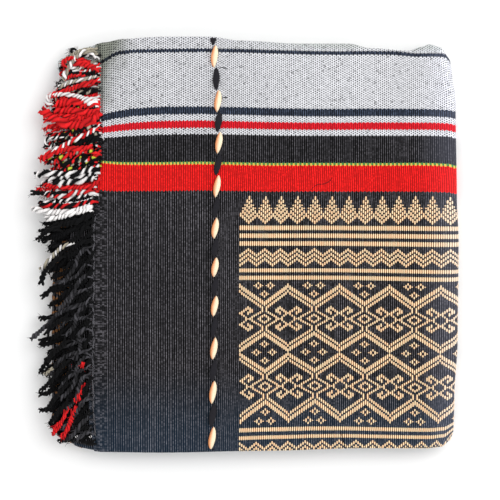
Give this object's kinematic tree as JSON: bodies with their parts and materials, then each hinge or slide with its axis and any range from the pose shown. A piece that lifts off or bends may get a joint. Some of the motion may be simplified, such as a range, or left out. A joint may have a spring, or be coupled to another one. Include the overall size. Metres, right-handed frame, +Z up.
{
  "type": "folded handwoven blanket",
  "caption": "Handwoven striped blanket with fringed ends, letter-folded and then doubled over twice into a flat squarish stack.",
  "frame": {"origin": "under the middle of the whole folded blanket, on the surface it lies on", "axes": "+X from the fringed ends towards the folded loops on the right, +Y to the far folded edge, +Z up"},
  "size_m": [0.435, 0.417, 0.0276],
  "materials": {
    "cloth": "matte ribbed weave",
    "upper_fringe": "matte twisted yarn",
    "lower_fringe": "matte twisted yarn",
    "cream_yarn": "soft thick yarn",
    "black_yarn": "soft thick yarn"
  },
  "bodies": {
    "root": {"folded_cloth": "cloth", "fringe_upper_end": "upper_fringe", "fringe_lower_end": "lower_fringe", "twined_yarn_cream": "cream_yarn", "twined_yarn_black": "black_yarn"}
  },
  "joints": []
}
